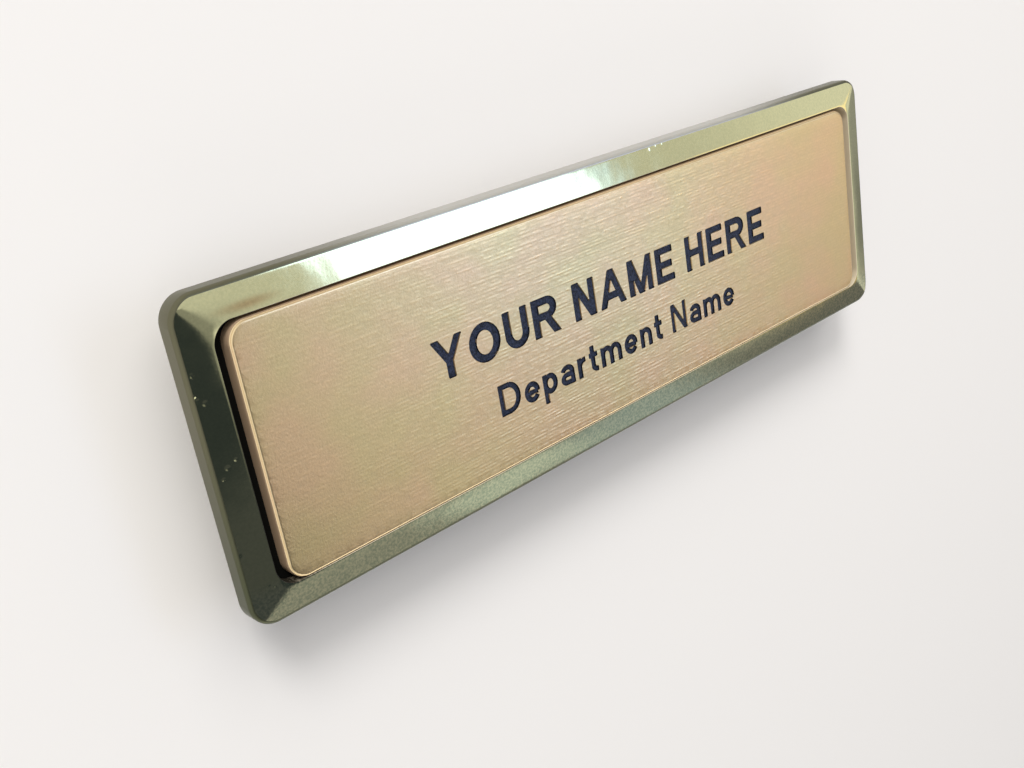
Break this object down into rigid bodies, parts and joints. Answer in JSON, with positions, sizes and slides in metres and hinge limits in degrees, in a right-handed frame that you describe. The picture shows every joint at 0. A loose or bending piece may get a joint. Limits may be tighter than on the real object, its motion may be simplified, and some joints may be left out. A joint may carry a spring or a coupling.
{
  "type": "framed name badge",
  "caption": "Rectangular name badge: a brushed, engraved and paint-filled plate in a polished frame with sloped, mitred borders, and a plain fastening bar behind.",
  "frame": {"origin": "middle of the fastening bar's underside, on the surface that the badge lies on", "axes": "+X along the badge from the first letter to the last, +Y towards the top of the lettering, +Z out of the face"},
  "size_m": [0.0792, 0.0242, 0.0067],
  "materials": {
    "frame": "polished pale gold",
    "plate": "brushed satin gold",
    "filling": "matt navy-black enamel paint",
    "clasp": "satin black"
  },
  "bodies": {
    "root": {"frame": "frame", "plate": "plate", "line_1_letter_01": "filling", "line_1_letter_02": "filling", "line_1_letter_03": "filling", "line_1_letter_04": "filling", "line_1_letter_05": "filling", "line_1_letter_06": "filling", "line_1_letter_07": "filling", "line_1_letter_08": "filling", "line_1_letter_09": "filling", "line_1_letter_10": "filling", "line_1_letter_11": "filling", "line_1_letter_12": "filling", "line_2_letter_01": "filling", "line_2_letter_02": "filling", "line_2_letter_03": "filling", "line_2_letter_04": "filling", "line_2_letter_05": "filling", "line_2_letter_06": "filling", "line_2_letter_07": "filling", "line_2_letter_08": "filling", "line_2_letter_09": "filling", "line_2_letter_10": "filling", "line_2_letter_11": "filling", "line_2_letter_12": "filling", "line_2_letter_13": "filling", "line_2_letter_14": "filling", "clasp": "clasp"}
  },
  "joints": []
}
